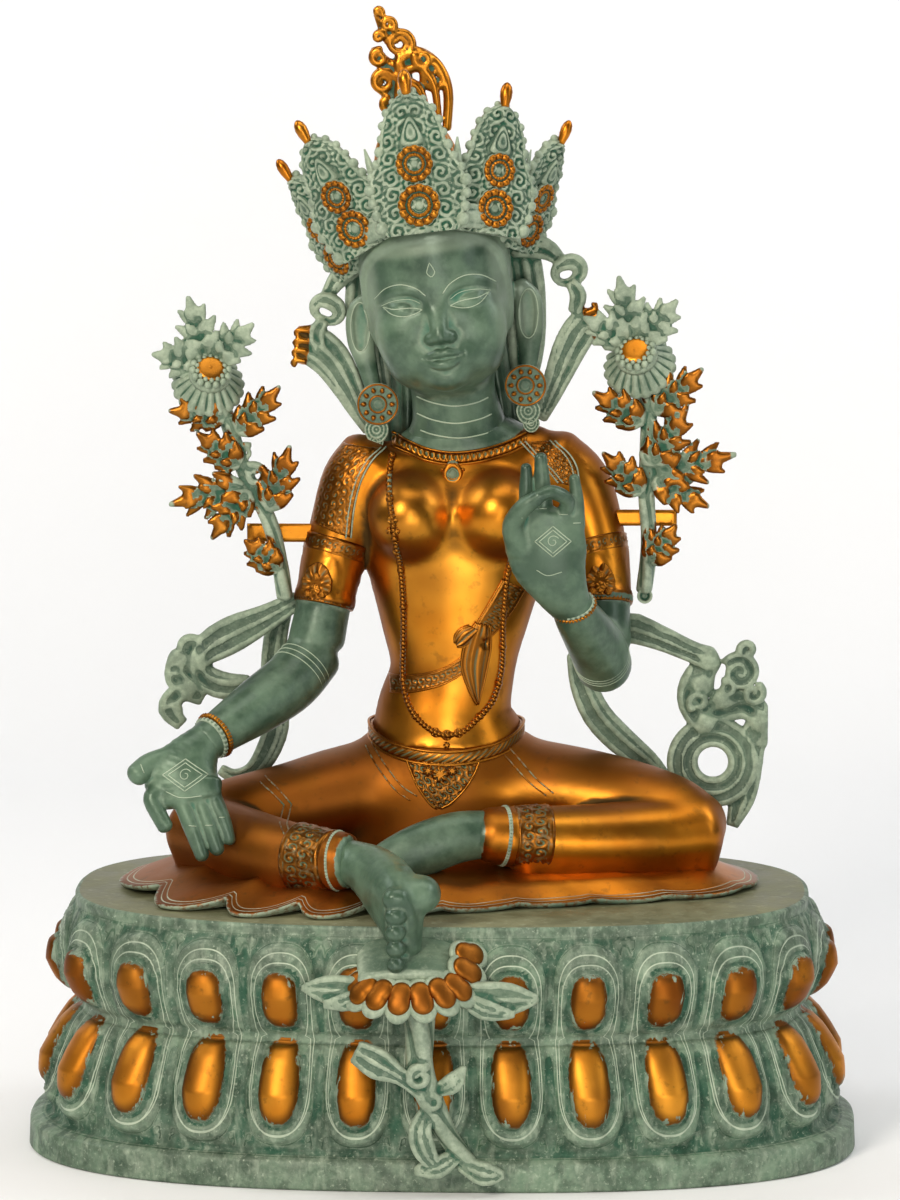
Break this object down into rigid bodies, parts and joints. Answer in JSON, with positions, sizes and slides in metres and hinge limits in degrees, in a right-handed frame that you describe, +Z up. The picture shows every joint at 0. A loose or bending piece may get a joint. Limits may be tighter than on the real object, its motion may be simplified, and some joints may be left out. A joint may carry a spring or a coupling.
{
  "type": "seated tara figure",
  "caption": "Large cast brass Green Tara statue seated on a double lotus base, verdigris patina with polished brass zones.",
  "frame": {"origin": "centre of the flat underside of the lotus base", "axes": "+Z up, the figure faces -Y, +X to the viewer's right"},
  "size_m": [0.684, 0.4168, 0.9291],
  "materials": {
    "verdigris_brass": "chalky green patina over cast brass",
    "polished_brass": "polished orange-gold brass with green patina on the skin"
  },
  "bodies": {
    "root": {"lotus_base": "verdigris_brass", "tara_figure": "polished_brass", "crown": "verdigris_brass", "lotus_spray_right": "verdigris_brass", "lotus_spray_left": "verdigris_brass", "scarf_right": "verdigris_brass", "scarf_left": "verdigris_brass"}
  },
  "joints": []
}
